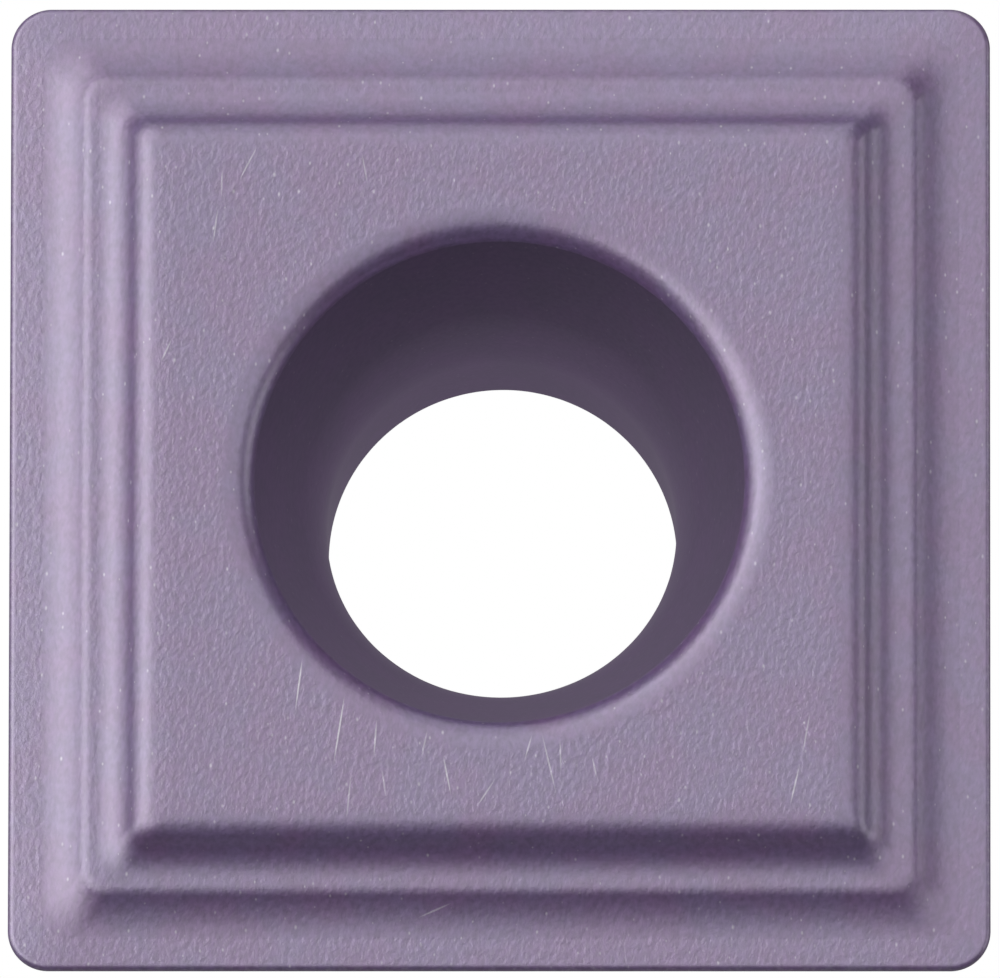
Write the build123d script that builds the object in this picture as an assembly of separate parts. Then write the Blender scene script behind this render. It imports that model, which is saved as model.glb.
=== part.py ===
from build123d import *

import os
from math import cos, radians

# Square, screw-down cutting insert of sintered carbide: one pressed and ground solid.
# The origin is the middle of the flat seat face. +Z is the cutting side, and the four
# cutting edges run along X and Y. Lengths are in millimetres, angles in degrees.

# Body
edge_length = 9.525          # across two opposite cutting edges, before honing
edge_height = 3.97           # seat face to cutting edge
clearance_angle = 11.0       # lean of each flank, inward below its edge
corner_radius = 0.4
edge_hone = 0.06             # rounding that honing leaves on the cutting edges
seat_break = 0.08            # small chamfer round the seat face

# Chip former: a land along each edge, then two hollow steps up to the middle plateau.
# Each angle is the rise of the surface towards the middle.
land_width = 0.31
land_angle = 4.5
lower_hollow_radius = 0.80
lower_wall_angle = 35.0
lower_crest_radius = 0.21
ledge_width = 0.045
ledge_angle = 2.2
upper_hollow_radius = 0.44
upper_wall_angle = 54.0
upper_crest_radius = 0.30
shoulder_angle = 4.2         # where the upper crest gives way to the flatter shoulder
shoulder_radius = 2.7
hip_taper = 0.2              # how much the former's corners sharpen, in plan, per mm inward

# Screw hole
throat_radius = 1.70
throat_height = 1.73         # top of the straight throat, above the seat face
flare_radius = 3.9           # blend from the throat into the countersink
sink_angle = 40.0            # full angle of the countersink
rim_radius = 0.36
seat_chamfer = 0.39          # at the lower mouth of the hole

# Making
overrun = 1.0                # how far surfaces that cut, or get cut, run past the insert
contours_per_arc = 5         # steps of the loft that follows an arc of the section


def tangent_arc(run, radius, turn):
    """Arc that carries on from the end of a run and turns left, or right if negative."""
    return JernArc(run @ 1, run % 1, radius, turn)


def former_section():
    """Tangent runs up the chip former, from outside one cutting edge to the plateau."""
    edge = Vector(-edge_length / 2, edge_height)
    outside = PolarLine(edge, overrun, 180 + land_angle) @ 1
    inside = PolarLine(edge, land_width / cos(radians(land_angle)), land_angle) @ 1
    land = Line(outside, inside)
    lower_hollow = tangent_arc(land, lower_hollow_radius, lower_wall_angle - land_angle)
    lower_crest = tangent_arc(lower_hollow, lower_crest_radius, ledge_angle - lower_wall_angle)
    ledge = PolarLine(lower_crest @ 1, ledge_width, ledge_angle)
    upper_hollow = tangent_arc(ledge, upper_hollow_radius, upper_wall_angle - ledge_angle)
    upper_crest = tangent_arc(upper_hollow, upper_crest_radius, shoulder_angle - upper_wall_angle)
    shoulder = tangent_arc(upper_crest, shoulder_radius, -shoulder_angle)
    return [land, lower_hollow, lower_crest, ledge, upper_hollow, upper_crest, shoulder]


def top_height(section):
    """Height of the plateau, where the section ends, above the seat face."""
    return (section[-1] @ 1).Y


def former_contour(point):
    """Level outline of the former through one point of its section."""
    half = -point.X
    hip_radius = corner_radius - hip_taper * (edge_length / 2 - half)
    return Pos(0, 0, point.Y) * RectangleRounded(2 * half, 2 * half, hip_radius)


def former_layer(run):
    """The slice of the former that stands under one run of its section."""
    straight = run.geom_type == GeomType.LINE
    steps = 1 if straight else contours_per_arc
    return loft([former_contour(run @ (step / steps)) for step in range(steps + 1)], ruled=straight)


def chip_former(section):
    """Solid under the chip former: one layer for each run of the section, on a column."""
    foot = section[0] @ 0
    former = extrude(former_contour(foot), amount=-foot.Y)
    for run in section:
        former += former_layer(run)
    return former


def blank(section):
    """Square block with leaning flanks and rounded corners, taller than the finished insert."""
    height = top_height(section) + overrun
    block = Box(edge_length, edge_length, height, align=(Align.CENTER, Align.CENTER, Align.MIN))
    flanks = block.faces().filter_by(Axis.Z, reverse=True)
    block = draft(flanks, Plane.XY.offset(edge_height), -clearance_angle)
    return fillet(block.edges().filter_by(Plane.XY, reverse=True), corner_radius)


def screw_hole(section):
    """What the screw hole takes away: a straight throat, a flare and a countersink."""
    lean = sink_angle / 2
    tool_top = top_height(section) + overrun
    throat = Line((throat_radius, -overrun), (throat_radius, throat_height))
    flare = tangent_arc(throat, flare_radius, -lean)
    sink = PolarLine(flare @ 1, (tool_top - (flare @ 1).Y) / cos(radians(lean)), 90 - lean)
    core = Polyline(sink @ 1, (0, tool_top), (0, -overrun), throat @ 0)
    half_section = make_face(Curve() + [throat, flare, sink, core])
    return revolve(Plane.XZ * half_section, Axis.Z)


def cutting_edges(insert):
    """Top edges of the four flanks and of the rounded corners between them."""
    flanks = insert.faces().filter_by(lambda face: -0.5 < face.normal_at().Z < -0.05)
    return flanks.edges().filter_by(lambda edge: min((edge @ 0).Z, (edge @ 1).Z) > edge_height / 2)


def seat_face(insert):
    """The flat face that rests in the tool's pocket."""
    return insert.faces().sort_by(Axis.Z)[0]


def finish_edges(insert):
    """Hone the cutting edges, round the rim of the hole and chamfer the seat's edges."""
    insert = fillet(cutting_edges(insert), edge_hone)
    rim = insert.edges().filter_by(GeomType.CIRCLE).group_by(Axis.Z)[-1]
    insert = fillet(rim, rim_radius)
    insert = chamfer(seat_face(insert).outer_wire().edges(), seat_break)
    return chamfer(seat_face(insert).inner_wires()[0].edges(), seat_chamfer)


def insert_body():
    """The finished insert, in one solid."""
    section = former_section()
    insert = blank(section) & chip_former(section)
    return finish_edges(insert - screw_hole(section))


os.makedirs("parts", exist_ok=True)
export_step(insert_body(), "parts/insert_body.step")
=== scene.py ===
"""Square carbide insert: pressed chip former, honed edge, countersunk hole, coating and studio.

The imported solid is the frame. This script builds the insert's finished surface on the same
sizes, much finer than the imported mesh, and dresses it in the coating. Only the rim of the hole
has a curve of its own, in two arcs. Sizes are given in millimetres and degrees and turned into
metres where a mesh is made.
"""

import logging
import math
from dataclasses import dataclass, field
from enum import Enum, IntEnum

import bpy
import numpy as np
from mathutils import Matrix, Vector, noise


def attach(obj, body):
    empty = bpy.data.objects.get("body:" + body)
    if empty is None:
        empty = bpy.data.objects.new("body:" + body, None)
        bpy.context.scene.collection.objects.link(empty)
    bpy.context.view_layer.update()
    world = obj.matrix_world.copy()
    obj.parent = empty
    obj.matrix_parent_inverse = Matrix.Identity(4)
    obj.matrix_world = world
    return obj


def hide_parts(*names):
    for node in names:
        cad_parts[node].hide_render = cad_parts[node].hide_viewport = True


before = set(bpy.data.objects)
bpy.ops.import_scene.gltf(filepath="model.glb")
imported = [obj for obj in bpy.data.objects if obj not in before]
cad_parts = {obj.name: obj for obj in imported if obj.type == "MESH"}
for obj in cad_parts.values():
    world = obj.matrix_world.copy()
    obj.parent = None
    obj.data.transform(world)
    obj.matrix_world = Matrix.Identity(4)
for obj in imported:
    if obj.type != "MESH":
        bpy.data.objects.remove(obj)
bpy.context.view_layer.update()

MM = 0.001
CAD_NODE = "insert_body"
CAD_BODY = "root"
WEAR_ATTRIBUTE = "edge_wear"
GRAIN_ATTRIBUTE = "grain_share"
NOISE_LOW, NOISE_MEAN, NOISE_HIGH = 0.3, 0.5, 0.7  # Range and middle of a noise texture's value.
SCRATCH_REACH = 1000.0  # Half height of a hairline, so that it marks every height alike.

LOG = logging.getLogger("carbide_insert")

Socket = bpy.types.NodeSocket
Inputs = dict[str | int, object]
Colour = tuple[float, float, float]
Point = tuple[float, float, float]
Pair = tuple[float, float]
Shares = tuple[float, ...]


class Zone(IntEnum):
    """Which finish a strip of the insert has; the value is its material index."""

    PRESSED_TOP = 0
    GROUND_FLANK = 1
    GROUND_SEAT = 2
    HOLE_WALL = 3
    EDGE_LAND = 4


class Spread(Enum):
    """How a mask falls off from its middle."""

    SHARP = "LINEAR"
    SOFT = "SMOOTHSTEP"


# Section and surface


class SectionPen:
    """Draws a section as a chain of tangent lines and arcs."""

    def __init__(self, x: float, z: float, heading: float) -> None:
        """Puts the pen down.

        Args:
            x: Start across the section, in millimetres.
            z: Start height, in millimetres.
            heading: Direction of travel above the horizontal, in degrees.
        """
        self.x = x
        self.z = z
        self.heading = heading

    def line(self, length: float) -> list[Pair]:
        """Draws straight on.

        Args:
            length: Length of the line.

        Returns:
            The point at its end.
        """
        slope = math.radians(self.heading)
        self.x += math.cos(slope) * length
        self.z += math.sin(slope) * length
        return [(self.x, self.z)]

    def arc(self, radius: float, heading: float, steps: int) -> list[Pair]:
        """Turns along an arc to a new heading.

        Args:
            radius: Radius of the arc.
            heading: Direction of travel at the end of the arc, in degrees.
            steps: Number of equal steps along it.

        Returns:
            The points after each step.
        """
        side = math.copysign(1.0, heading - self.heading)
        start = math.radians(self.heading)
        turn = math.radians(heading - self.heading)
        centre_x = self.x - side * radius * math.sin(start)
        centre_z = self.z + side * radius * math.cos(start)
        points = []
        for step in range(1, steps + 1):
            slope = start + turn * step / steps
            x = centre_x + side * radius * math.sin(slope)
            z = centre_z - side * radius * math.cos(slope)
            points.append((x, z))
        self.x, self.z = points[-1]
        self.heading = heading
        return points


@dataclass
class Ring:
    """One closed line round the insert, with the strip that follows it.

    Wear says how rubbed the ring is, and grain how much of the pressed grain it keeps.
    """

    quarter: np.ndarray
    zone: Zone
    wear: float = 0.0
    grain: float = 1.0


@dataclass
class InsertSurface:
    """The insert's whole surface: rings from the seat out, up the flanks, in and down the hole."""

    edge_length: float = 9.525
    edge_height: float = 3.97
    clearance_angle: float = 11.0
    corner_radius: float = 0.4
    edge_hone: float = 0.06
    seat_break: float = 0.08

    land_width: float = 0.31
    land_angle: float = 4.5
    lower_hollow_radius: float = 0.80
    lower_wall_angle: float = 35.0
    lower_crest_radius: float = 0.21
    ledge_width: float = 0.045
    ledge_angle: float = 2.2
    upper_hollow_radius: float = 0.44
    upper_wall_angle: float = 54.0
    upper_crest_radius: float = 0.30
    shoulder_angle: float = 4.2
    shoulder_radius: float = 2.7
    hip_taper: float = 0.2

    throat_radius: float = 1.70
    throat_height: float = 1.73
    flare_radius: float = 3.9
    sink_angle: float = 38.5
    rim_lead_radius: float = 0.6
    rim_lead_angle: float = 14.0
    rim_radius: float = 0.25
    seat_chamfer: float = 0.39

    side_steps: int = 90
    corner_steps: int = 18
    hone_steps: int = 9
    hollow_steps: int = 13
    lower_crest_steps: int = 9
    upper_crest_steps: int = 13
    shoulder_steps: int = 4
    rim_lead_steps: int = 5
    rim_steps: int = 12
    flare_steps: int = 9
    settle_rounds: int = 4
    guard: float = 0.012

    seat_shares: Shares = (0.01, 0.33, 0.66, 0.99)
    flank_shares: Shares = (0.01, 0.25, 0.5, 0.75, 0.985)
    land_shares: Shares = (0.05, 0.35, 0.65, 0.95)
    plateau_shares: Shares = (0.02, 0.15, 0.3, 0.45, 0.6, 0.75, 0.9, 0.98)
    sink_shares: Shares = (0.0, 0.02, 0.5, 0.98)

    seat_wear: float = 0.5
    hone_wear: float = 0.5
    hone_grain: float = 0.15
    land_grain: float = 0.8
    hollow_grain: float = 0.3
    lower_crest_grain: float = 0.5
    ledge_grain: float = 0.7
    upper_crest_grain: float = 0.4
    rim_lead_grain: float = 0.8
    rim_grain: float = 0.3
    hole_grain: float = 0.15

    ripple_depth: float = 0.0008
    ripple_length: float = 0.22
    fray_depth: float = 0.0012
    fray_length: float = 0.07
    smooth_below: float = 25.0

    rings: list[Ring] = field(default_factory=list)

    # Rings

    @property
    def columns(self) -> int:
        """Number of points in a quarter ring."""
        return 2 * self.side_steps + self.corner_steps

    @property
    def land_slope(self) -> float:
        """Rise of the land for each millimetre inward."""
        return math.tan(math.radians(self.land_angle))

    def flank_half(self, height: float | np.ndarray) -> float | np.ndarray:
        """Distance from the axis to a flank at a height."""
        slope = math.tan(math.radians(self.clearance_angle))
        return self.edge_length / 2 - (self.edge_height - height) * slope

    def square(self, half: float, radius: float, height: float) -> np.ndarray:
        """A quarter of a rounded square.

        Args:
            half: Half the square's side.
            radius: Radius of its corner.
            height: Height of the ring.

        Returns:
            The quarter's points, from the middle of one side to just before the middle of the next.
        """
        straight = half - radius
        side = np.full(self.side_steps, half)
        along = np.linspace(0.0, straight, self.side_steps, endpoint=False)
        turn = np.linspace(0.0, math.pi / 2, self.corner_steps, endpoint=False)
        x = np.concatenate([side, straight + radius * np.cos(turn), straight - along])
        y = np.concatenate([along, straight + radius * np.sin(turn), side])
        return np.stack([x, y, np.full(len(x), height)], axis=1)

    def circle(self, radius: float, height: float) -> np.ndarray:
        """A quarter of a circle.

        Args:
            radius: Radius of the circle.
            height: Height of the ring.

        Returns:
            The quarter's points, in step with those of a square ring.
        """
        turn = np.linspace(0.0, math.pi / 2, self.columns, endpoint=False)
        x, y = radius * np.cos(turn), radius * np.sin(turn)
        return np.stack([x, y, np.full(len(x), height)], axis=1)

    def corner_share(self) -> np.ndarray:
        """Share of the corner's turn that each column of a quarter has made, from 0 to 1."""
        turn = np.linspace(0.0, 1.0, self.corner_steps, endpoint=False)
        return np.concatenate([np.zeros(self.side_steps), turn, np.ones(self.side_steps)])

    def flank_normals(self) -> np.ndarray:
        """Directions of the flanks and of the rounded corner between them.

        Returns:
            The outward normal for each column of a quarter.
        """
        lean = math.radians(self.clearance_angle)
        first = np.array([math.cos(lean), 0.0, -math.sin(lean)])
        second = np.array([0.0, math.cos(lean), -math.sin(lean)])
        return turned(first, second, self.corner_share())

    def flank(self, heights: np.ndarray) -> np.ndarray:
        """A quarter of the flanks' outline, with the corner rolled between two leaning planes.

        Args:
            heights: Height of each column of the quarter.

        Returns:
            The quarter's points.
        """
        lean = math.radians(self.clearance_angle)
        radius = self.corner_radius
        normals = self.flank_normals()
        middle = self.flank_half(heights - radius * normals[:, 2]) - radius / math.cos(lean)
        x, y = middle + radius * normals[:, 0], middle + radius * normals[:, 1]
        points = np.stack([x, y, heights], axis=1)
        share = np.linspace(0.0, 1.0, self.side_steps, endpoint=False)
        first = slice(0, self.side_steps)
        last = slice(self.side_steps + self.corner_steps, None)
        points[first, 1] *= share
        points[last, 0] *= 1 - share
        return points

    def hip_radius(self, half: float | np.ndarray) -> float | np.ndarray:
        """Corner radius of the former's level outline that has this half side."""
        return self.corner_radius - self.hip_taper * (self.edge_length / 2 - half)

    def contour(self, points: np.ndarray) -> tuple[np.ndarray, np.ndarray]:
        """Which level outline of the chip former passes through each point.

        Args:
            points: Points of one quarter; only x and y count.

        Returns:
            Half the side of each outline, and how fast that grows along x and y.
        """
        x, y = points[:, 0], points[:, 1]
        taper, reach = self.hip_taper, 1 - self.hip_taper
        offset = taper * self.edge_length / 2 - self.corner_radius
        longer = np.maximum(x, y)
        straight = np.where((x > y)[:, None], [1.0, 0.0], [0.0, 1.0])
        hip = np.minimum(x, y) > reach * longer + offset
        square = 2 * reach**2 - taper**2
        linear = 2 * taper * offset - 2 * reach * (x + y - 2 * offset)
        rest = (x - offset) ** 2 + (y - offset) ** 2 - offset**2
        root = np.sqrt(np.maximum(linear**2 - 4 * square * rest, 0.0))
        half = np.where(hip, (-linear - root) / (2 * square), longer)
        middle, radius = reach * half + offset, taper * half - offset
        outward = np.stack([x - middle, y - middle], axis=1) / radius[:, None]
        growth = outward / (reach * outward.sum(axis=1, keepdims=True) + taper)
        return half, np.where(hip[:, None], growth, straight)

    def land_level(self, points: np.ndarray) -> np.ndarray:
        """Height of the land over each point."""
        half, _ = self.contour(points)
        return self.edge_height + (self.edge_length / 2 - half) * self.land_slope

    def sharp_edge(self) -> np.ndarray:
        """A quarter of the line where the flanks would meet the land, before honing.

        Returns:
            The quarter's points.
        """
        heights = np.full(self.columns, self.edge_height)
        for _ in range(self.settle_rounds):
            heights = self.land_level(self.flank(heights))
        return self.flank(heights)

    def hone(self) -> list[np.ndarray]:
        """The rounded cutting edge.

        Returns:
            Quarter rings from the flank side to the land side.
        """
        edge = self.sharp_edge()
        outer = self.flank_normals()
        _, growth = self.contour(edge)
        upper = np.column_stack([growth * self.land_slope, np.ones(len(edge))])
        upper /= np.linalg.norm(upper, axis=1, keepdims=True)
        between = np.sum(outer * upper, axis=1, keepdims=True)
        centre = edge - self.edge_hone * (outer + upper) / (1 + between)
        rings = []
        for step in range(self.hone_steps + 1):
            share = np.full(len(edge), step / self.hone_steps)
            rings.append(centre + self.edge_hone * turned(outer, upper, share))
        return rings

    def add(self, quarter: np.ndarray, zone: Zone, wear: float = 0.0, grain: float = 1.0) -> None:
        """Adds a ring; its zone is that of the strip between it and the next ring."""
        self.rings.append(Ring(quarter, zone, wear, grain))

    def add_blend(self, start: np.ndarray, end: np.ndarray, shares: Shares, zone: Zone) -> None:
        """Adds rings part of the way between two rings.

        Args:
            start: Quarter that the blend leaves.
            end: Quarter that the blend reaches.
            shares: How far along each new ring lies, between 0 and 1.
            zone: Finish of the strips.
        """
        for share in shares:
            self.add(start + (end - start) * share, zone)

    def lay_seat_and_flanks(self) -> list[np.ndarray]:
        """Rings of the seat, its small chamfer and the flanks.

        Returns:
            The hone's quarter rings, which come next.
        """
        lean = math.radians(self.clearance_angle)
        hole = self.circle(self.throat_radius + self.seat_chamfer, 0.0)
        normals = self.flank_normals()
        plan = normals[:, :2] / np.linalg.norm(normals[:, :2], axis=1, keepdims=True)
        rim = self.flank(np.zeros(len(hole)))
        rim[:, :2] -= self.seat_break * plan
        self.add(hole, Zone.GROUND_SEAT)
        self.add_blend(hole, rim, self.seat_shares, Zone.GROUND_SEAT)
        self.add(rim, Zone.GROUND_SEAT, self.seat_wear)
        hone = self.hone()
        low = np.full(len(hole), self.seat_break * math.cos(lean))
        high = hone[0][:, 2]
        self.add(self.flank(low), Zone.GROUND_FLANK, self.seat_wear)
        for share in self.flank_shares:
            self.add(self.flank(low + (high - low) * share), Zone.GROUND_FLANK)
        return hone

    def lay_edge_and_land(self, hone: list[np.ndarray]) -> None:
        """Rings of the honed edge and the land behind it.

        Args:
            hone: The hone's quarter rings.
        """
        for number, ring in enumerate(hone[:-1]):
            wear = self.hone_wear * math.sin(math.pi * number / (len(hone) - 1))
            self.add(ring, Zone.EDGE_LAND, wear, self.hone_grain)
        self.add(hone[-1], Zone.EDGE_LAND, grain=self.hone_grain)
        inner_half = self.edge_length / 2 - self.land_width
        inner = self.square(inner_half, self.hip_radius(inner_half), 0.0)
        inner[:, 2] = self.land_level(inner)
        for share in self.land_shares:
            ring = hone[-1] + (inner - hone[-1]) * share
            ring[:, 2] = self.land_level(ring)
            self.add(ring, Zone.EDGE_LAND, grain=self.land_grain)

    def lay_chip_former(self) -> float:
        """Rings up the two hollow steps to the plateau.

        Returns:
            Height of the plateau.
        """
        pen = SectionPen(-self.edge_length / 2, self.edge_height, self.land_angle)
        start = pen.line(self.land_width / math.cos(math.radians(self.land_angle)))
        hollow = pen.arc(self.lower_hollow_radius, self.lower_wall_angle, self.hollow_steps)
        crest = pen.arc(self.lower_crest_radius, self.ledge_angle, self.lower_crest_steps)
        ledge = pen.line(self.ledge_width)
        upper_hollow = pen.arc(self.upper_hollow_radius, self.upper_wall_angle, self.hollow_steps)
        upper_crest = pen.arc(self.upper_crest_radius, self.shoulder_angle, self.upper_crest_steps)
        shoulder = pen.arc(self.shoulder_radius, 0.0, self.shoulder_steps)
        runs = [
            (start, 1.0),
            (hollow, self.hollow_grain),
            (crest, self.lower_crest_grain),
            (ledge, self.ledge_grain),
            (upper_hollow, self.hollow_grain),
            (upper_crest, self.upper_crest_grain),
            (shoulder, 1.0),
        ]
        for run, grain in runs:
            for x, z in run:
                self.add(self.square(-x, self.hip_radius(-x), z), Zone.PRESSED_TOP, grain=grain)
        return pen.z

    def flare(self, tilt: float) -> Pair:
        """Radius and height of the flare where its wall has this tilt, in radians."""
        radius = self.throat_radius + self.flare_radius * (1 - math.cos(tilt))
        return radius, self.throat_height + self.flare_radius * math.sin(tilt)

    def lay_hole(self, top: float) -> None:
        """Rings of the plateau, rim, countersink, flare, throat and lower chamfer.

        Args:
            top: Height of the plateau.
        """
        lean = math.radians(self.sink_angle / 2)
        flare_radius, flare_height = self.flare(lean)
        pen = SectionPen(0.0, top, 180.0)
        rim = pen.arc(self.rim_lead_radius, 180.0 + self.rim_lead_angle, self.rim_lead_steps)
        rim += pen.arc(self.rim_radius, 270.0 - self.sink_angle / 2, self.rim_steps)
        sink_radius = flare_radius + (pen.z - flare_height) * math.tan(lean)
        start = sink_radius - pen.x
        first = self.circle(start, top)
        self.add_blend(self.rings[-1].quarter, first, self.plateau_shares, Zone.PRESSED_TOP)
        self.add(first, Zone.PRESSED_TOP, grain=self.rim_lead_grain)
        for x, z in rim[:-1]:
            self.add(self.circle(start + x, z), Zone.PRESSED_TOP, grain=self.rim_grain)
        wall = []
        for share in self.sink_shares:
            radius = sink_radius + (flare_radius - sink_radius) * share
            wall.append((radius, pen.z + (flare_height - pen.z) * share))
        for step in range(self.flare_steps):
            wall.append(self.flare(lean * (1 - step / self.flare_steps)))
        throat_top, throat_foot = self.throat_height, self.seat_chamfer
        for height in (throat_top, throat_top - self.guard, throat_foot + self.guard):
            wall.append((self.throat_radius, height))
        for radius, height in wall:
            self.add(self.circle(radius, height), Zone.HOLE_WALL, grain=self.hole_grain)
        self.add(self.circle(self.throat_radius, throat_foot), Zone.HOLE_WALL, self.seat_wear)

    # Mesh

    def strips(self) -> np.ndarray:
        """Quads between each ring and the next, and between the last and the first.

        Returns:
            Four vertex numbers for each quad.
        """
        columns = 4 * self.columns
        here = np.arange(len(self.rings))[:, None] * columns + np.arange(columns)[None, :]
        beside = np.roll(here, -1, axis=1)
        corners = [here, beside, np.roll(beside, -1, axis=0), np.roll(here, -1, axis=0)]
        return np.stack(corners, axis=2).reshape(-1, 4)

    def roughened(self, points: np.ndarray, normals: np.ndarray, wear: np.ndarray) -> np.ndarray:
        """Presses a faint unevenness into the surface, deepest along the worn edges.

        Args:
            points: Vertices, in millimetres.
            normals: Their outward normals.
            wear: How worn each vertex is, from 0 to 1.

        Returns:
            The vertices moved inward by a few micrometres.
        """
        moved = points.copy()
        for number, (point, normal, worn) in enumerate(zip(points, normals, wear)):
            place = Vector(point)
            depth = self.ripple_depth * lumps(place, self.ripple_length)
            if worn > 0:
                depth += self.fray_depth * worn * lumps(place, self.fray_length)
            moved[number] -= normal * depth
        return moved

    def build(self, name: str) -> bpy.types.Object:
        """Builds the closed surface.

        Args:
            name: Name of the piece.

        Returns:
            The insert, in metres, with its zones as material indices and two attributes.
        """
        self.rings.clear()
        hone = self.lay_seat_and_flanks()
        self.lay_edge_and_land(hone)
        self.lay_hole(self.lay_chip_former())
        columns = 4 * self.columns
        points = np.concatenate([all_round(ring.quarter) for ring in self.rings])
        quads = self.strips()
        if signed_volume(points, quads) < 0:
            quads = quads[:, ::-1]
        wear = np.repeat([ring.wear for ring in self.rings], columns)
        mesh = bpy.data.meshes.new(name)
        mesh.from_pydata(points.tolist(), [], quads.tolist())
        normals = np.array([vertex.normal for vertex in mesh.vertices])
        points = self.roughened(points, normals, wear) * MM
        mesh.vertices.foreach_set("co", points.astype(np.float32).ravel())
        zones = np.repeat([int(ring.zone) for ring in self.rings], columns)
        mesh.polygons.foreach_set("material_index", zones.astype(np.int32))
        grain = np.repeat([ring.grain for ring in self.rings], columns)
        for attribute, values in ((WEAR_ATTRIBUTE, wear), (GRAIN_ATTRIBUTE, grain)):
            made = mesh.attributes.new(attribute, "FLOAT", "POINT")
            made.data.foreach_set("value", values.astype(np.float32))
        mesh.shade_smooth()
        mesh.set_sharp_from_angle(angle=math.radians(self.smooth_below))
        mesh.validate()
        mesh.update()
        return placed(name, mesh)


def turned(start: np.ndarray, end: np.ndarray, share: np.ndarray) -> np.ndarray:
    """Turns one direction into another at an even rate.

    Args:
        start: Unit direction, or one for each row.
        end: Unit direction, or one for each row.
        share: How much of the turn each row makes, from 0 to 1.

    Returns:
        One unit direction for each row.
    """
    between = np.arccos(np.clip(np.sum(start * end, axis=-1), -1.0, 1.0))
    angle = np.broadcast_to(between, share.shape)
    first = np.sin((1 - share) * angle) / np.sin(angle)
    second = np.sin(share * angle) / np.sin(angle)
    return first[:, None] * start + second[:, None] * end


def lumps(place: Vector, length: float) -> float:
    """Smooth noise at a place, mostly from 0 to 1, with lumps of about this length."""
    return 0.5 + 0.5 * noise.noise(place / length)


def all_round(quarter: np.ndarray) -> np.ndarray:
    """The four turns of a quarter ring.

    Args:
        quarter: Points of the quarter.

    Returns:
        Points of the closed ring.
    """
    x, y, z = quarter.T
    turns = ((x, y, z), (-y, x, z), (-x, -y, z), (y, -x, z))
    return np.concatenate([np.stack(turn, axis=1) for turn in turns])


def signed_volume(points: np.ndarray, quads: np.ndarray) -> float:
    """Volume inside a closed quad mesh.

    Args:
        points: Its vertices.
        quads: Four vertex numbers for each face.

    Returns:
        The volume, negative if the faces point inward.
    """
    a, b, c, d = (points[quads[:, corner]] for corner in range(4))
    first = np.sum(a * np.cross(b, c), axis=1)
    second = np.sum(a * np.cross(c, d), axis=1)
    return float(np.sum(first + second) / 6)


def placed(name: str, data: bpy.types.ID) -> bpy.types.Object:
    """Puts a mesh, a light or a camera into the scene.

    Args:
        name: Name of the object.
        data: What it holds.

    Returns:
        The object.
    """
    made = bpy.data.objects.new(name, data)
    bpy.context.scene.collection.objects.link(made)
    return made


# Shader graphs


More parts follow.
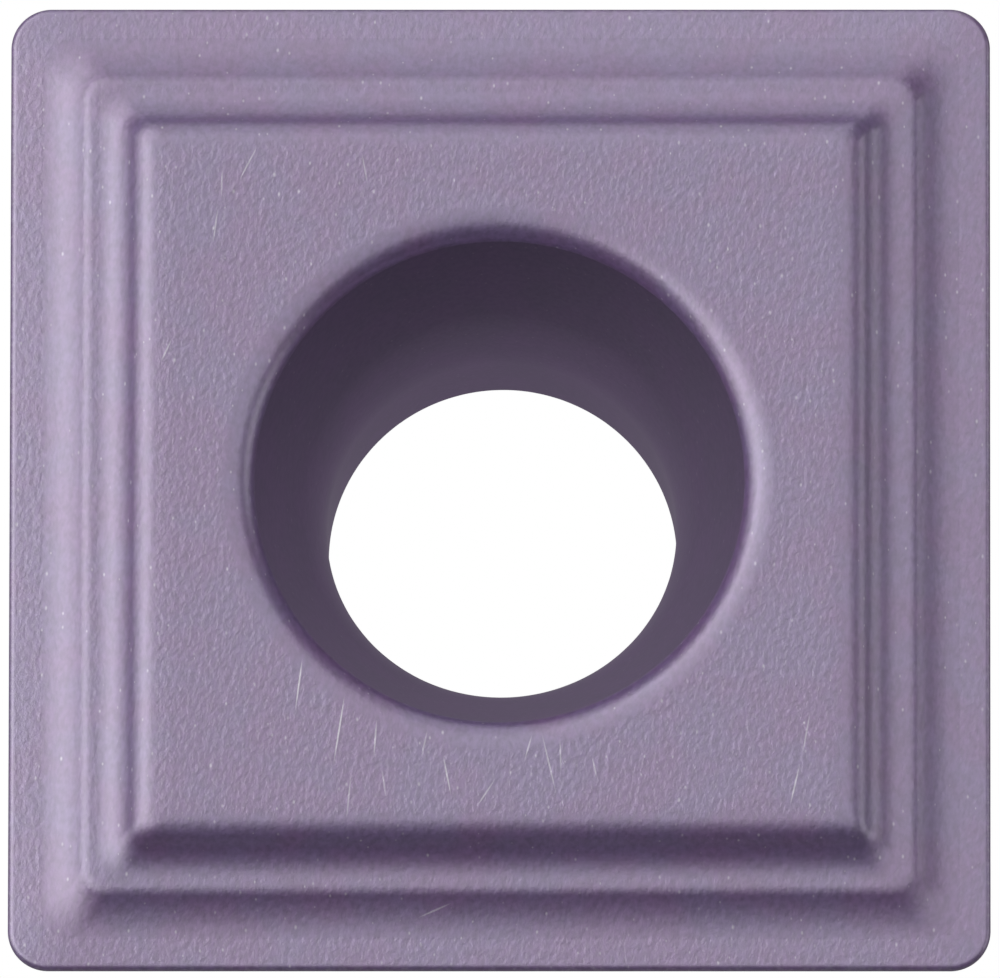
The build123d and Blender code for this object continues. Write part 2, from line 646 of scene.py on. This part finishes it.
class Graph:
    """Places shader nodes in one tree and joins them."""

    def __init__(self, tree: bpy.types.NodeTree) -> None:
        """Takes the tree to work in."""
        self.tree = tree

    def node(
        self, kind: str, inputs: Inputs | None = None, **settings: object
    ) -> bpy.types.Node:
        """Adds a node.

        Args:
            kind: Blender's node type.
            inputs: Constant or socket for each named or numbered input.
            **settings: Properties of the node.

        Returns:
            The node.
        """
        made = self.tree.nodes.new(kind)
        for name, value in settings.items():
            setattr(made, name, value)
        for name, value in (inputs or {}).items():
            if isinstance(value, Socket):
                self.tree.links.new(value, made.inputs[name])
            else:
                made.inputs[name].default_value = value
        return made

    def math(self, operation: str, *values: object) -> Socket:
        """A Math node's result.

        Args:
            operation: Blender's name of the operation.
            *values: Constants or sockets, in order.

        Returns:
            The output socket.
        """
        return self.node("ShaderNodeMath", dict(enumerate(values)), operation=operation).outputs[0]

    def vector(self, operation: str, *values: object, output: str = "Vector") -> Socket:
        """A Vector Math node's result.

        Args:
            operation: Blender's name of the operation.
            *values: Constants or sockets, in order.
            output: Which output to take.

        Returns:
            The output socket.
        """
        made = self.node("ShaderNodeVectorMath", dict(enumerate(values)), operation=operation)
        return made.outputs[output]

    def scaled(self, vector: Socket, factor: Socket) -> Socket:
        """A vector or colour times one factor."""
        made = self.node("ShaderNodeVectorMath", {0: vector, "Scale": factor}, operation="SCALE")
        return made.outputs["Vector"]

    def cells(self, vector: Socket, size: Socket) -> Socket:
        """A vector counted in cells of one size."""
        sides = self.node("ShaderNodeCombineXYZ", {"X": size, "Y": size, "Z": size})
        return self.vector("DIVIDE", vector, sides.outputs[0])

    def remap(
        self,
        value: object,
        low: object,
        high: object,
        start: object = 0.0,
        end: object = 1.0,
        spread: Spread = Spread.SHARP,
    ) -> Socket:
        """Maps a value from one range to another and keeps it there.

        Args:
            value: Constant or socket to map.
            low: Value that gives start.
            high: Value that gives end.
            start: First end of the new range.
            end: Other end of the new range.
            spread: How the result moves between them.

        Returns:
            The mapped value.
        """
        inputs = {"Value": value, "From Min": low, "From Max": high, "To Min": start, "To Max": end}
        made = self.node("ShaderNodeMapRange", inputs, interpolation_type=spread.value)
        return made.outputs["Result"]

    def noise(self, vector: Socket, scale: float, detail: float, roughness: float) -> Socket:
        """Value of a noise texture.

        Args:
            vector: Where it is read.
            scale: Cells for each unit.
            detail: Number of octaves.
            roughness: Weight of the finer octaves.

        Returns:
            The noise, about 0.5.
        """
        inputs = {"Vector": vector, "Scale": scale, "Detail": detail, "Roughness": roughness}
        return self.node("ShaderNodeTexNoise", inputs).outputs[0]

    def attribute(self, name: str) -> Socket:
        """Value of one of the mesh's own attributes."""
        made = self.node("ShaderNodeAttribute", attribute_type="GEOMETRY", attribute_name=name)
        return made.outputs["Fac"]

    def mix_colour(self, share: object, first: object, second: object) -> Socket:
        """Mixes two colours.

        Args:
            share: Share of the second colour.
            first: Constant or socket.
            second: Constant or socket.

        Returns:
            The mixed colour.
        """
        made = self.node("ShaderNodeMix", {0: share, 6: first, 7: second}, data_type="RGBA")
        return made.outputs[2]

    def group(self, tree: bpy.types.NodeTree, inputs: Inputs) -> bpy.types.Node:
        """Places a node group with its own values."""
        return self.node("ShaderNodeGroup", inputs, node_tree=tree)


class Effect:
    """A surface effect, kept as one node group that every coating places with its own values."""

    name: str = ""
    inputs: dict[str, object] = {}
    outputs: tuple[str, ...] = ()

    def tree(self) -> bpy.types.NodeTree:
        """The effect's node group, built on first use.

        Returns:
            The group.
        """
        found = bpy.data.node_groups.get(self.name)
        if found:
            return found
        made = bpy.data.node_groups.new(self.name, "ShaderNodeTree")
        for name, value in self.inputs.items():
            kind = "NodeSocketVector" if isinstance(value, tuple) else "NodeSocketFloat"
            socket = made.interface.new_socket(name=name, in_out="INPUT", socket_type=kind)
            socket.default_value = value
        for name in self.outputs:
            made.interface.new_socket(name=name, in_out="OUTPUT", socket_type="NodeSocketFloat")
        graph = Graph(made)
        entry = graph.node("NodeGroupInput")
        exits = graph.node("NodeGroupOutput")
        for name, value in self.draw(graph, entry.outputs).items():
            made.links.new(value, exits.inputs[name])
        LOG.info("effect %s: %d nodes", self.name, len(made.nodes))
        return made

    def draw(self, graph: Graph, given: bpy.types.NodeOutputs) -> dict[str, Socket]:
        """Draws the nodes between the group's inputs and outputs.

        Args:
            graph: The group's graph.
            given: Sockets of the group's inputs.

        Returns:
            The socket for each output.
        """
        raise NotImplementedError


class PressedGrain(Effect):
    """Fine grain that pressing and blasting leave, drawn out a little in one direction."""

    name = "pressed_grain"
    inputs = {"Vector": (0.0, 0.0, 0.0), "Lean": 1.15, "Length": 0.06, "Width": 0.028}
    outputs = ("Height", "Tone")
    fine_size: float = 0.03
    fine_share: float = 0.25
    tone_shift: Point = (7.3, 3.1, 5.7)

    def draw(self, graph: Graph, given: bpy.types.NodeOutputs) -> dict[str, Socket]:
        """Draws stretched and round grain.

        Args:
            graph: The group's graph.
            given: Sockets of the group's inputs.

        Returns:
            Height and tone, each about 0.5.
        """
        size, place = self.fine_size, given["Vector"]
        width = given["Width"]
        back = graph.math("MULTIPLY", given["Lean"], -1.0)
        inputs = {"Vector": place, "Angle": back}
        aligned = graph.node("ShaderNodeVectorRotate", inputs, rotation_type="Z_AXIS")
        sides = graph.node("ShaderNodeCombineXYZ", {"X": given["Length"], "Y": width, "Z": width})
        cells = graph.vector("DIVIDE", aligned.outputs["Vector"], sides.outputs[0])
        drawn = graph.noise(cells, scale=0.5, detail=2.0, roughness=0.55)
        fine = graph.vector("DIVIDE", place, (size, size, size))
        fine = graph.noise(fine, scale=0.5, detail=1.0, roughness=0.5)
        drawn = graph.math("MULTIPLY", drawn, 1 - self.fine_share)
        fine = graph.math("MULTIPLY", fine, self.fine_share)
        tone = graph.vector("ADD", cells, self.tone_shift)
        tone = graph.noise(tone, scale=0.5, detail=1.0, roughness=0.6)
        return {"Height": graph.math("ADD", drawn, fine), "Tone": tone}


class CoatingPatches(Effect):
    """Slow drift of the coating between a pinker and a greyer violet."""

    name = "coating_patches"
    inputs = {"Vector": (0.0, 0.0, 0.0), "Size": 0.6}
    outputs = ("Share",)
    grey_below: float = 0.35
    pink_above: float = 0.65

    def draw(self, graph: Graph, given: bpy.types.NodeOutputs) -> dict[str, Socket]:
        """Draws broad patches broken up by smaller ones.

        Args:
            graph: The group's graph.
            given: Sockets of the group's inputs.

        Returns:
            Share of the pinker violet, from 0 to 1.
        """
        cells = graph.cells(given["Vector"], given["Size"])
        drift = graph.noise(cells, scale=1.0, detail=2.0, roughness=0.6)
        share = graph.remap(drift, self.grey_below, self.pink_above, spread=Spread.SOFT)
        return {"Share": share}


class BrightSpecks(Effect):
    """Pin-point facets of carbide that flash through the coating."""

    name = "bright_specks"
    inputs = {"Vector": (0.0, 0.0, 0.0), "Spacing": 0.1, "Radius": 0.2, "Share": 0.8}
    outputs = ("Mask",)
    stretch: Point = (1.0, 0.6, 1.0)
    smallest: float = 0.45

    def draw(self, graph: Graph, given: bpy.types.NodeOutputs) -> dict[str, Socket]:
        """Draws one soft dot in some of the cells.

        Args:
            graph: The group's graph.
            given: Sockets of the group's inputs.

        Returns:
            Mask from 0 to 1.
        """
        place = graph.vector("MULTIPLY", given["Vector"], self.stretch)
        place = graph.cells(place, given["Spacing"])
        cells = graph.node("ShaderNodeTexVoronoi", {"Vector": place, "Scale": 1.0})
        pick = graph.node("ShaderNodeSeparateXYZ", {0: cells.outputs["Color"]})
        chosen = graph.math("LESS_THAN", pick.outputs["X"], given["Share"])
        least = graph.math("MULTIPLY", given["Radius"], self.smallest)
        size = graph.remap(pick.outputs["Y"], 0.0, 1.0, least, given["Radius"])
        dot = graph.remap(cells.outputs["Distance"], 0.0, size, 1.0, 0.0, Spread.SOFT)
        return {"Mask": graph.math("MULTIPLY", dot, chosen)}


class Hairline(Effect):
    """One short scratch, a long thin ellipse that fades out at its rim."""

    name = "hairline"
    inputs = {
        "Vector": (0.0, 0.0, 0.0),
        "Middle": (0.0, 0.0, 0.0),
        "Turn": (0.0, 0.0, 0.0),
        "Size": (1.0, 0.01, 1.0),
    }
    outputs = ("Mask",)
    core: float = 0.45

    def draw(self, graph: Graph, given: bpy.types.NodeOutputs) -> dict[str, Socket]:
        """Draws how deep each place lies inside the ellipse.

        Args:
            graph: The group's graph.
            given: Sockets of the group's inputs.

        Returns:
            Mask from 0 to 1.
        """
        inputs = {
            "Vector": given["Vector"],
            "Location": given["Middle"],
            "Rotation": given["Turn"],
            "Scale": given["Size"],
        }
        local = graph.node("ShaderNodeMapping", inputs, vector_type="TEXTURE").outputs["Vector"]
        distance = graph.vector("LENGTH", local, output="Value")
        return {"Mask": graph.remap(distance, self.core, 1.0, 1.0, 0.0)}


class EdgeWear(Effect):
    """Rubbed coating along the honed and broken edges, which comes and goes."""

    name = "edge_wear"
    inputs = {"Vector": (0.0, 0.0, 0.0), "Break Size": 0.1, "Threshold": 0.5}
    outputs = ("Mask",)
    fade: float = 0.12

    def draw(self, graph: Graph, given: bpy.types.NodeOutputs) -> dict[str, Socket]:
        """Draws the mesh's wear attribute through a noise.

        Args:
            graph: The group's graph.
            given: Sockets of the group's inputs.

        Returns:
            Mask from 0 to 1.
        """
        low, worn = given["Threshold"], graph.attribute(WEAR_ATTRIBUTE)
        cells = graph.cells(given["Vector"], given["Break Size"])
        broken = graph.noise(cells, scale=1.0, detail=3.0, roughness=0.6)
        high = graph.math("ADD", low, self.fade)
        broken = graph.remap(broken, low, high, spread=Spread.SOFT)
        return {"Mask": graph.math("MULTIPLY", worn, broken)}


class GrindingLines(Effect):
    """Fine parallel lines that a grinding wheel leaves across one direction."""

    name = "grinding_lines"
    inputs = {"Vector": (0.0, 0.0, 0.0), "Across": (0.0, 0.0, 1.0), "Pitch": 0.03}
    outputs = ("Height", "Tone")
    drift: Point = (0.35, 0.35, 0.35)

    def draw(self, graph: Graph, given: bpy.types.NodeOutputs) -> dict[str, Socket]:
        """Draws noise that only changes slowly along the lines.

        Args:
            graph: The group's graph.
            given: Sockets of the group's inputs.

        Returns:
            Height and tone, each about 0.5.
        """
        across = graph.vector("DOT_PRODUCT", given["Vector"], given["Across"], output="Value")
        lines = graph.math("DIVIDE", across, given["Pitch"])
        slow = graph.vector("MULTIPLY", given["Vector"], self.drift)
        parts = graph.node("ShaderNodeSeparateXYZ", {0: slow}).outputs
        along = graph.math("ADD", parts["X"], parts["Y"])
        place = graph.node("ShaderNodeCombineXYZ", {"X": lines, "Y": along, "Z": 0.0}).outputs[0]
        height = graph.noise(place, scale=1.0, detail=2.0, roughness=0.6)
        tone = graph.noise(place, scale=0.3, detail=3.0, roughness=0.6)
        return {"Height": height, "Tone": tone}


# Finishes


@dataclass(frozen=True)
class Scratch:
    """One light scratch, seen from above, in millimetres."""

    start: Pair
    end: Pair
    strength: float = 0.5
    width: float = 0.021

    def placement(self) -> dict[str, Point]:
        """Where the scratch lies, as values for the hairline's inputs.

        Returns:
            Its middle, its turn and its half sizes.
        """
        away_x, away_y = self.end[0] - self.start[0], self.end[1] - self.start[1]
        return {
            "Middle": ((self.start[0] + self.end[0]) / 2, (self.start[1] + self.end[1]) / 2, 0.0),
            "Turn": (0.0, 0.0, math.atan2(away_y, away_x)),
            "Size": (math.hypot(away_x, away_y) / 2, self.width / 2, SCRATCH_REACH),
        }


@dataclass(frozen=True)
class CoatedCarbide:
    """The violet-grey coating over carbide, as one zone of the insert shows it."""

    name: str
    pink_violet: Colour = (0.166, 0.092, 0.228)
    grey_violet: Colour = (0.154, 0.102, 0.236)
    worn: Colour = (0.56, 0.53, 0.60)
    patch_size: float = 0.6
    metallic: float = 0.25
    roughness: float = 0.40
    bare_polish: float = 0.08
    refraction: float = 2.68
    edge_tint: Colour = (1.0, 1.0, 1.0)
    grain_length: float = 0.042
    grain_width: float = 0.028
    grain_lean: float = 80.0
    grain_height: float = 0.0125
    grain_tone: float = 0.16
    speck_strength: float = 0.6
    speck_share: float = 0.8
    wear_strength: float = 0.3
    wear_break: float = 0.05
    line_height: float = 0.0
    line_across: Point = (0.0, 0.0, 1.0)
    line_pitch: float = 0.03
    line_tone: float = 0.06
    scratches: tuple[Scratch, ...] = ()

    def relief(self, graph: Graph, place: Socket) -> tuple[Socket, Socket]:
        """Draws the grain and, on a ground face, the grinding lines.

        Args:
            graph: The material's graph.
            place: Position on the insert, in millimetres.

        Returns:
            Height in millimetres, and brightness about 1.
        """
        inputs = {
            "Vector": place,
            "Lean": math.radians(self.grain_lean),
            "Length": self.grain_length,
            "Width": self.grain_width,
        }
        grain = graph.group(PressedGrain().tree(), inputs).outputs
        dark, light = 1 - self.grain_tone, 1 + self.grain_tone
        tone = graph.remap(grain["Tone"], NOISE_LOW, NOISE_HIGH, dark, light)
        height = graph.math("SUBTRACT", grain["Height"], NOISE_MEAN)
        height = graph.math("MULTIPLY", height, self.grain_height)
        height = graph.math("MULTIPLY", height, graph.attribute(GRAIN_ATTRIBUTE))
        if self.line_height:
            inputs = {"Vector": place, "Across": self.line_across, "Pitch": self.line_pitch}
            lines = graph.group(GrindingLines().tree(), inputs).outputs
            depth = graph.math("MULTIPLY", lines["Height"], self.line_height)
            height = graph.math("ADD", height, depth)
            dark, light = 1 - self.line_tone, 1 + self.line_tone
            shade = graph.remap(lines["Tone"], NOISE_LOW, NOISE_HIGH, dark, light)
            tone = graph.math("MULTIPLY", tone, shade)
        return height, tone

    def bare(self, graph: Graph, place: Socket) -> Socket:
        """Finds where carbide shows: at specks, worn edges and scratches.

        Args:
            graph: The material's graph.
            place: Position on the insert, in millimetres.

        Returns:
            Share of bare carbide, from 0 to 1.
        """
        inputs = {"Vector": place, "Share": self.speck_share}
        marks = [(graph.group(BrightSpecks().tree(), inputs), self.speck_strength)]
        inputs = {"Vector": place, "Break Size": self.wear_break}
        marks.append((graph.group(EdgeWear().tree(), inputs), self.wear_strength))
        for scratch in self.scratches:
            inputs = {"Vector": place, **scratch.placement()}
            marks.append((graph.group(Hairline().tree(), inputs), scratch.strength))
        masks = [graph.math("MULTIPLY", mark.outputs["Mask"], strength) for mark, strength in marks]
        share = masks[0]
        for mask in masks[1:]:
            share = graph.math("MAXIMUM", share, mask)
        return share

    def material(self) -> bpy.types.Material:
        """Builds the finish.

        Returns:
            The material.
        """
        made = bpy.data.materials.new(self.name)
        made.use_nodes = True
        made.node_tree.nodes.clear()
        graph = Graph(made.node_tree)
        place = graph.node("ShaderNodeTexCoord").outputs["Object"]
        place = graph.vector("DIVIDE", place, (MM, MM, MM))
        height, tone = self.relief(graph, place)
        bare = self.bare(graph, place)
        inputs = {"Vector": place, "Size": self.patch_size}
        pink = graph.group(CoatingPatches().tree(), inputs).outputs["Share"]
        colour = graph.mix_colour(pink, (*self.grey_violet, 1.0), (*self.pink_violet, 1.0))
        colour = graph.mix_colour(bare, graph.scaled(colour, tone), (*self.worn, 1.0))
        polish = graph.math("MULTIPLY", bare, self.bare_polish)
        bump = graph.node("ShaderNodeBump", {"Height": height, "Strength": 1.0, "Distance": MM})
        inputs = {
            "Base Color": colour,
            "Metallic": self.metallic,
            "Roughness": graph.math("SUBTRACT", self.roughness, polish),
            "IOR": self.refraction,
            "Specular Tint": (*self.edge_tint, 1.0),
            "Normal": bump.outputs["Normal"],
        }
        shader = graph.node("ShaderNodeBsdfPrincipled", inputs)
        graph.node("ShaderNodeOutputMaterial", {"Surface": shader.outputs["BSDF"]})
        LOG.info("finish %s: %d nodes", self.name, len(made.node_tree.nodes))
        return made


# Insert


@dataclass
class CarbideInsert:
    """The one pressed and ground piece, in its five finishes."""

    surface: InsertSurface = field(default_factory=InsertSurface)

    def scratches(self) -> tuple[Scratch, ...]:
        """Light handling scratches of the top, most of them below the hole.

        Returns:
            The scratches.
        """
        return (
            Scratch((-1.90, -1.77), (-1.97, -2.31), 0.9),
            Scratch((-1.49, -2.13), (-1.60, -2.84), 0.9),
            Scratch((-1.18, -2.38), (-1.21, -2.76), 0.6),
            Scratch((-1.43, -2.93), (-1.47, -3.36), 0.5),
            Scratch((-1.13, -2.87), (-1.09, -3.15), 0.4),
            Scratch((-0.69, -2.48), (-0.75, -2.76), 0.4),
            Scratch((-0.54, -2.73), (-0.46, -3.14), 0.7),
            Scratch((-0.03, -2.96), (-0.22, -3.25), 0.5),
            Scratch((0.32, -2.53), (0.25, -2.78), 0.5),
            Scratch((0.41, -2.50), (0.56, -3.14), 0.5),
            Scratch((0.59, -2.57), (0.60, -2.91), 0.5),
            Scratch((0.90, -2.75), (0.95, -2.97), 0.5),
            Scratch((3.01, -2.29), (2.93, -2.74), 0.5),
            Scratch((2.91, -2.81), (2.81, -3.24), 0.7),
            Scratch((-2.69, 3.06), (-2.70, 2.76), 0.4),
            Scratch((-2.73, 2.67), (-2.78, 2.31), 0.5),
            Scratch((-2.35, 3.28), (-2.53, 2.93), 0.5),
            Scratch((-1.34, 3.22), (-1.28, 2.89), 0.4),
            Scratch((-3.17, 1.38), (-3.28, 1.14), 0.6),
            Scratch((-0.79, -4.25), (-0.45, -4.11), 0.5),
        )

    def finishes(self) -> list[CoatedCarbide]:
        """The insert's finishes.

        Returns:
            One finish for each zone, in the order of the zones.
        """
        return [
            CoatedCarbide("pressed_top", scratches=self.scratches()),
            CoatedCarbide("ground_flank", grain_height=0.001, line_height=0.0015),
            CoatedCarbide(
                "ground_seat",
                grain_height=0.001,
                line_height=0.0012,
                line_across=(0.6, 0.8, 0.0),
            ),
            CoatedCarbide(
                "hole_wall",
                pink_violet=(0.240, 0.186, 0.292),
                grey_violet=(0.226, 0.186, 0.276),
                metallic=0.8,
                roughness=0.35,
                refraction=1.5,
                edge_tint=(0.80, 0.66, 0.92),
                grain_height=0.004,
                grain_tone=0.05,
                speck_strength=0.3,
            ),
            CoatedCarbide(
                "edge_land",
                pink_violet=(0.176, 0.098, 0.242),
                grey_violet=(0.164, 0.108, 0.250),
                refraction=2.78,
            ),
        ]

    def build(self) -> bpy.types.Object:
        """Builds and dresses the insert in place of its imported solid.

        Returns:
            The insert.
        """
        piece = self.surface.build("insert_finished")
        for finish in self.finishes():
            piece.data.materials.append(finish.material())
        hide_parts(CAD_NODE)
        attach(piece, CAD_BODY)
        LOG.info("piece %s: %d faces", piece.name, len(piece.data.polygons))
        return piece


# Studio


class Glow(Enum):
    """What shines: the node types of its shader and of its output."""

    SHEET = ("ShaderNodeEmission", "ShaderNodeOutputMaterial")
    ROOM = ("ShaderNodeBackground", "ShaderNodeOutputWorld")


@dataclass(frozen=True)
class Softbox:
    """One wide, white studio softbox that faces the insert."""

    name: str
    azimuth: float
    elevation: float
    power: float
    width: float = 0.22
    height: float = 0.14
    distance: float = 0.30

    def build(self) -> bpy.types.Object:
        """Hangs the softbox.

        Returns:
            The light.
        """
        data = bpy.data.lights.new(self.name, "AREA")
        data.shape = "RECTANGLE"
        data.size, data.size_y = self.width, self.height
        data.energy = self.power
        lamp = placed(self.name, data)
        turn, rise = math.radians(self.azimuth), math.radians(self.elevation)
        level = math.cos(rise)
        way = Vector((math.cos(turn) * level, math.sin(turn) * level, math.sin(rise)))
        lamp.location = way * self.distance
        lamp.rotation_euler = way.to_track_quat("Z", "Y").to_euler()
        lamp.visible_camera = False
        LOG.info("softbox %s", self.name)
        return lamp


@dataclass
class Studio:
    """A glowing white table, soft lights and the camera, in metres and degrees."""

    table_size: float = 1.2
    table_drop: float = 0.00002
    table_glow: float = 0.211
    room_glow: float = 0.04
    bore_glow: float = 0.3
    bore_glow_radius: float = 0.002
    bore_glow_sides: int = 48
    backdrop: float = 1.0
    camera_tilt: float = 11.38
    camera_lean: float = 0.50
    camera_distance: float = 0.3942
    camera_aim: Pair = (-0.000033, 0.000792)
    lens: float = 1450.0
    clip_start: float = 0.01
    clip_end: float = 10.0

    def softboxes(self) -> list[Softbox]:
        """The studio's lights.

        Returns:
            The softboxes.
        """
        return [
            Softbox("left_high", 180.0, 62.0, 0.200),
            Softbox("left_middle", 180.0, 38.0, 0.215),
            Softbox("left_low", 180.0, 14.0, 0.122),
            Softbox("far_left_middle", 135.0, 38.0, 0.200),
            Softbox("far_high", 90.0, 62.0, 0.114),
            Softbox("far_middle", 90.0, 38.0, 0.073),
            Softbox("far_low", 90.0, 14.0, 0.083),
            Softbox("right_high", 0.0, 62.0, 0.105),
            Softbox("right_low", 0.0, 14.0, 0.131),
            Softbox("near_left_high", 225.0, 62.0, 0.044),
            Softbox("overhead", 0.0, 90.0, 0.062),
        ]

    def glow(self, tree: bpy.types.NodeTree, kind: Glow, cast: float) -> None:
        """Gives a tree one brightness for the camera and another for the light that it casts.

        Args:
            tree: The material's or the world's tree.
            kind: What shines.
            cast: Brightness that lights the insert.
        """
        emitter, output = kind.value
        tree.nodes.clear()
        graph = Graph(tree)
        ray = graph.node("ShaderNodeLightPath").outputs["Is Camera Ray"]
        strength = graph.remap(ray, 0.0, 1.0, cast, self.backdrop)
        shader = graph.node(emitter, {"Color": (1.0, 1.0, 1.0, 1.0), "Strength": strength})
        graph.node(output, {"Surface": shader.outputs[0]})

    def sheet(self, name: str, finish: str, outline: list[Point], cast: float) -> bpy.types.Object:
        """Makes a flat, glowing sheet.

        Args:
            name: Name of the sheet.
            finish: Name of its material.
            outline: Its corners, in metres.
            cast: Brightness that lights the insert.

        Returns:
            The sheet.
        """
        mesh = bpy.data.meshes.new(name)
        mesh.from_pydata(outline, [], [tuple(range(len(outline)))])
        material = bpy.data.materials.new(finish)
        material.use_nodes = True
        self.glow(material.node_tree, Glow.SHEET, cast)
        mesh.materials.append(material)
        LOG.info("sheet %s", name)
        return placed(name, mesh)

    def build_table(self) -> bpy.types.Object:
        """Lays the white table under the insert.

        Returns:
            The table.
        """
        half, height = self.table_size / 2, -self.table_drop
        corners = [(-half, -half), (half, -half), (half, half), (-half, half)]
        outline = [(x, y, height) for x, y in corners]
        table = self.sheet("studio_table", "white_table", outline, self.table_glow)
        return table

    def build_bore_glow(self) -> bpy.types.Object:
        """Lights the throat from the patch of table under it, which shines brighter than the rest.

        Returns:
            The patch.
        """
        radius, height = self.bore_glow_radius, -self.table_drop / 2
        turns = np.linspace(0.0, 2 * math.pi, self.bore_glow_sides, endpoint=False)
        outline = [(radius * math.cos(turn), radius * math.sin(turn), height) for turn in turns]
        patch = self.sheet("studio_bore_glow", "bore_glow", outline, self.bore_glow)
        return patch

    def build_camera(self) -> bpy.types.Object:
        """Sets up the camera, high above the near side and a touch to the right.

        Returns:
            The camera.
        """
        data = bpy.data.cameras.new("studio_camera")
        data.lens = self.lens
        data.clip_start, data.clip_end = self.clip_start, self.clip_end
        camera = placed("studio_camera", data)
        tilt, lean = math.radians(self.camera_tilt), math.radians(self.camera_lean)
        back = Vector((math.tan(lean), -math.tan(tilt), 1.0)).normalized()
        right = (Vector((1.0, 0.0, 0.0)) - back * back.x).normalized()
        up = back.cross(right)
        turn = Matrix((right, up, back)).transposed()
        aim = Vector((*self.camera_aim, 0.0))
        camera.matrix_world = Matrix.Translation(aim + back * self.camera_distance) @ turn.to_4x4()
        bpy.context.scene.camera = camera
        return camera

    def build(self) -> None:
        """Builds the table, the room's glow, the softboxes and the camera."""
        scene = bpy.context.scene
        scene.view_settings.view_transform = "Standard"
        world = bpy.data.worlds.new("studio_room")
        world.use_nodes = True
        self.glow(world.node_tree, Glow.ROOM, self.room_glow)
        scene.world = world
        self.build_table()
        self.build_bore_glow()
        for softbox in self.softboxes():
            softbox.build()
        self.build_camera()
        LOG.info("studio built")


def main() -> None:
    """Builds the insert and the studio round it."""
    logging.basicConfig(level=logging.INFO, format="%(name)s: %(message)s")
    CarbideInsert().build()
    Studio().build()


if __name__ == "__main__":
    main()
